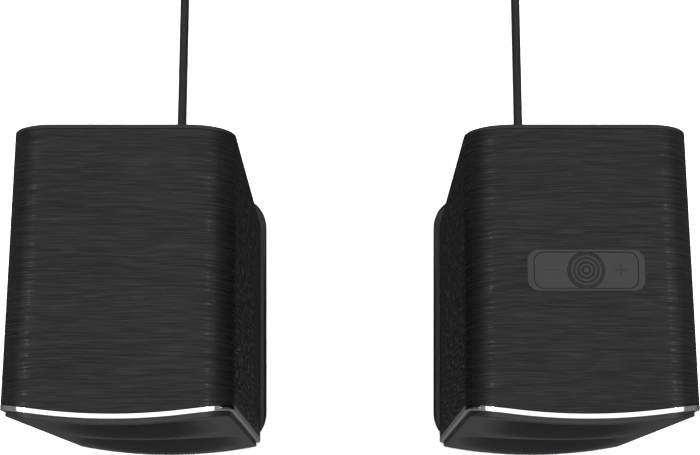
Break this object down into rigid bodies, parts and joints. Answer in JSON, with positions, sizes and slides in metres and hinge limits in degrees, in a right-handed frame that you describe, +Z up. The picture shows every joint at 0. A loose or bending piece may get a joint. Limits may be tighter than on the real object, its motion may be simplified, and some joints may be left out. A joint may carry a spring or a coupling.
{
  "type": "desktop speakers",
  "caption": "Pair of black wood-cased desktop speakers on base plates, with a bulged, dished front, a chrome front band, keys on top of one, and a lead behind each.",
  "frame": {"origin": "on the desk, midway between the two speakers and midway between the foremost point of the front panels and the rear edge of the base plates", "axes": "+X to the right as seen from the listener, -Y the front, +Z up"},
  "size_m": [0.3068, 0.366, 0.2204],
  "materials": {
    "black_wood": "open-grain veneer stained black, satin",
    "chrome_trim": "polished",
    "front_plastic": "satin moulded",
    "cover_plastic": "fine texture",
    "base_metal": "satin powder coat",
    "foot_rubber": "matte",
    "screw_steel": "black zinc",
    "frame_metal": "matte black",
    "magnet_ferrite": "sintered",
    "cone_paper": "felted black pulp",
    "surround_rubber": "soft satin",
    "cap_gloss": "polished",
    "key_plastic": "fine satin",
    "button_gloss": "turned rings",
    "circuit_board": "solder mask",
    "lead_jacket": "satin jacket",
    "tie_fabric": "woven hook-and-loop strap",
    "plug_plastic": "moulded"
  },
  "bodies": {
    "speakers": {"left_cabinet": "black_wood", "left_front_trim": "chrome_trim", "left_front_panel": "front_plastic", "left_rear_cover": "cover_plastic", "left_base_plate": "base_metal", "left_foot_pad": "foot_rubber", "left_base_screws": "screw_steel", "left_cover_screws": "screw_steel", "left_driver_screws": "screw_steel", "left_upper_frame": "frame_metal", "left_upper_motor": "magnet_ferrite", "left_lower_frame": "frame_metal", "left_lower_motor": "magnet_ferrite", "left_strain_relief": "lead_jacket", "left_lead": "lead_jacket", "left_lead_coil": "lead_jacket", "left_lead_tie": "tie_fabric", "left_plug": "plug_plastic", "right_cabinet": "black_wood", "right_front_trim": "chrome_trim", "right_front_panel": "front_plastic", "right_rear_cover": "cover_plastic", "right_base_plate": "base_metal", "right_foot_pad": "foot_rubber", "right_base_screws": "screw_steel", "right_cover_screws": "screw_steel", "right_driver_screws": "screw_steel", "right_upper_frame": "frame_metal", "right_upper_motor": "magnet_ferrite", "right_lower_frame": "frame_metal", "right_lower_motor": "magnet_ferrite", "right_strain_relief": "lead_jacket", "right_lead": "lead_jacket", "right_lead_coil": "lead_jacket", "right_lead_tie": "tie_fabric", "right_plug": "plug_plastic", "key_bezel": "key_plastic", "key_board": "circuit_board", "amplifier_board": "circuit_board", "link_jack": "plug_plastic", "terminal_board": "circuit_board"},
    "left_upper_diaphragm": {"left_upper_cone": "cone_paper", "left_upper_surround": "surround_rubber", "left_upper_dust_cap": "cap_gloss"},
    "left_lower_diaphragm": {"left_lower_cone": "cone_paper", "left_lower_surround": "surround_rubber", "left_lower_dust_cap": "cap_gloss"},
    "right_upper_diaphragm": {"right_upper_cone": "cone_paper", "right_upper_surround": "surround_rubber", "right_upper_dust_cap": "cap_gloss"},
    "right_lower_diaphragm": {"right_lower_cone": "cone_paper", "right_lower_surround": "surround_rubber", "right_lower_dust_cap": "cap_gloss"},
    "volume_down": {"volume_down_key": "key_plastic"},
    "volume_up": {"volume_up_key": "key_plastic"},
    "centre_button": {"round_button": "button_gloss"}
  },
  "joints": [
    {"name": "left_upper_diaphragm_slide", "type": "slide", "parent": "speakers", "child": "left_upper_diaphragm", "axis": [0, -1, 0], "range_m": [-0.002, 0.002], "stiffness_N_per_m": 1200},
    {"name": "left_lower_diaphragm_slide", "type": "slide", "parent": "speakers", "child": "left_lower_diaphragm", "axis": [0, -1, 0], "range_m": [-0.003, 0.003], "stiffness_N_per_m": 900},
    {"name": "right_upper_diaphragm_slide", "type": "slide", "parent": "speakers", "child": "right_upper_diaphragm", "axis": [0, -1, 0], "range_m": [-0.002, 0.002], "stiffness_N_per_m": 1200},
    {"name": "right_lower_diaphragm_slide", "type": "slide", "parent": "speakers", "child": "right_lower_diaphragm", "axis": [0, -1, 0], "range_m": [-0.003, 0.003], "stiffness_N_per_m": 900},
    {"name": "volume_down_press", "type": "slide", "parent": "speakers", "child": "volume_down", "axis": [0, 0, -1], "range_m": [0, 0.0006], "stiffness_N_per_m": 1200},
    {"name": "volume_up_press", "type": "slide", "parent": "speakers", "child": "volume_up", "axis": [0, 0, -1], "range_m": [0, 0.0006], "stiffness_N_per_m": 1200},
    {"name": "centre_button_press", "type": "slide", "parent": "speakers", "child": "centre_button", "axis": [0, 0, -1], "range_m": [0, 0.0006], "stiffness_N_per_m": 1200}
  ]
}
